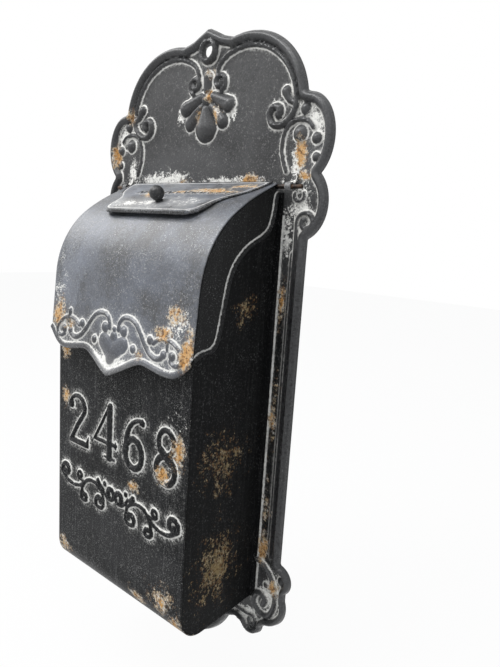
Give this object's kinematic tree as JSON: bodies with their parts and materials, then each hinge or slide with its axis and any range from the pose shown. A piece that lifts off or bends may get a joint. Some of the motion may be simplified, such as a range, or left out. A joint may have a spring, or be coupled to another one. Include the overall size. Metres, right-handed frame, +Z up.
{
  "type": "wall mailbox",
  "caption": "Wall-hung letter box of pressed tin: scrolled back plate, tall box, hinged hood over its mouth and a small flap with a ball knob over the letter slot.",
  "frame": {"origin": "on the wall plane, in the middle of the plate's width and half way up its height", "axes": "+Y into the wall, -Y out to the viewer, +X to the viewer's right, +Z up"},
  "size_m": [0.2566, 0.1004, 0.553],
  "materials": {
    "back_plate": "worn black paint with limewash in the relief and patches of rust",
    "box": "worn black paint with grey speckle, limewash round the scrolls and patches of rust",
    "hood": "worn blue-black paint, rubbed grey on top, limewash and rust along its edge",
    "flap": "pale worn paint with rust",
    "knob": "satin black paint",
    "hinge": "dark rusted steel wire and strap",
    "fasteners": "dull plated steel"
  },
  "bodies": {
    "box_and_plate": {"back_plate": "back_plate", "front_panel": "box", "left_side_panel": "box", "right_side_panel": "box", "hinge_rod": "hinge", "left_hinge_strap": "hinge", "right_hinge_strap": "hinge"},
    "hood": {"hood_cover": "hood", "left_hood_cheek": "hood", "right_hood_cheek": "hood"},
    "flap": {"slot_flap": "flap", "flap_knob": "knob", "knob_washer": "fasteners", "knob_screw": "fasteners"}
  },
  "joints": [
    {"name": "hood_hinge", "type": "hinge", "parent": "box_and_plate", "child": "hood", "pos_m": [0, -0.008, 0.147], "axis": [-1, 0, 0], "range_deg": [0, 60]},
    {"name": "flap_hinge", "type": "hinge", "parent": "hood", "child": "flap", "pos_m": [0, -0.008, 0.147], "axis": [-1, 0, 0], "range_deg": [0, 32]}
  ]
}
